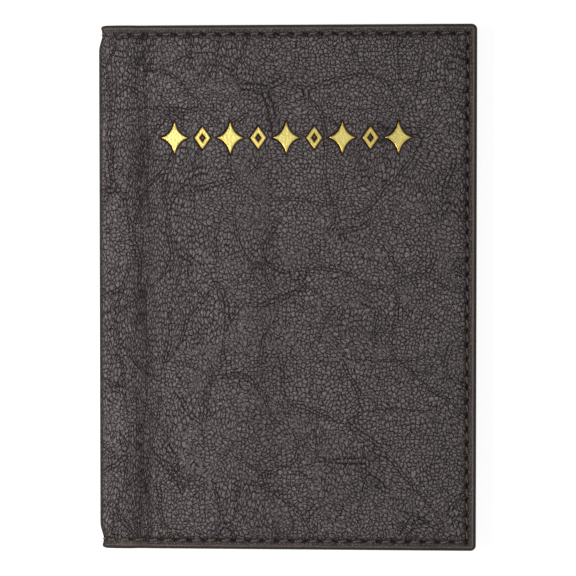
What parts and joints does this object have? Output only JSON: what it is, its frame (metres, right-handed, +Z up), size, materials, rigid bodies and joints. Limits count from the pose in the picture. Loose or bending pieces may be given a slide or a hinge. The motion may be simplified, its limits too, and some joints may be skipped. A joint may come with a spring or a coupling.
{
  "type": "passport holder",
  "caption": "Flat folding leather cover with a soft spine, stitched edges, two stiffened covers and an inner pocket on each for a passport's covers.",
  "frame": {"origin": "middle of the holder's outline on the surface that its back cover lies on, with the holder closed", "axes": "+X from the spine to the open edge, +Y along the spine towards the top of the front cover, +Z up out of the front cover"},
  "size_m": [0.101, 0.14, 0.008],
  "materials": {
    "outer_leather": "pebbled, satin",
    "pocket_leather": "smooth, satin",
    "lining": "fine woven, matte",
    "board": "matte",
    "tape": "matte",
    "edge_paint": "satin",
    "thread": "waxed",
    "foil": "bright"
  },
  "bodies": {
    "back_cover": {"back_outer_leather": "outer_leather", "back_stiffening_board": "board", "back_lining": "lining", "back_pocket_panel": "pocket_leather", "back_pocket_hem_thread": "thread", "back_pocket_edge_paint": "edge_paint", "back_edge_paint": "edge_paint", "back_outer_seam_thread": "thread", "back_inner_seam_thread": "thread"},
    "spine": {"spine_outer_leather": "outer_leather", "spine_lining": "lining", "spine_reinforcing_tape": "tape", "spine_bottom_edge_paint": "edge_paint", "spine_bottom_outer_thread": "thread", "spine_bottom_inner_thread": "thread", "spine_top_edge_paint": "edge_paint", "spine_top_outer_thread": "thread", "spine_top_inner_thread": "thread"},
    "front_cover": {"front_outer_leather": "outer_leather", "front_stiffening_board": "board", "front_lining": "lining", "front_pocket_panel": "pocket_leather", "front_pocket_hem_thread": "thread", "front_pocket_edge_paint": "edge_paint", "front_edge_paint": "edge_paint", "front_outer_seam_thread": "thread", "front_inner_seam_thread": "thread", "foil_star_1": "foil", "foil_star_2": "foil", "foil_star_3": "foil", "foil_star_4": "foil", "foil_star_5": "foil", "foil_lozenge_1": "foil", "foil_lozenge_2": "foil", "foil_lozenge_3": "foil", "foil_lozenge_4": "foil"}
  },
  "joints": [
    {"name": "back_fold", "type": "hinge", "parent": "back_cover", "child": "spine", "pos_m": [-0.04942, 0, 0.00108], "axis": [0, -1, 0], "range_deg": [0, 90]},
    {"name": "front_fold", "type": "hinge", "parent": "spine", "child": "front_cover", "pos_m": [-0.04942, 0, 0.00692], "axis": [0, -1, 0], "range_deg": [0, 90]}
  ],
  "couplings": [
    {"joint": "front_fold", "follows": "back_fold", "ratio": 1}
  ]
}
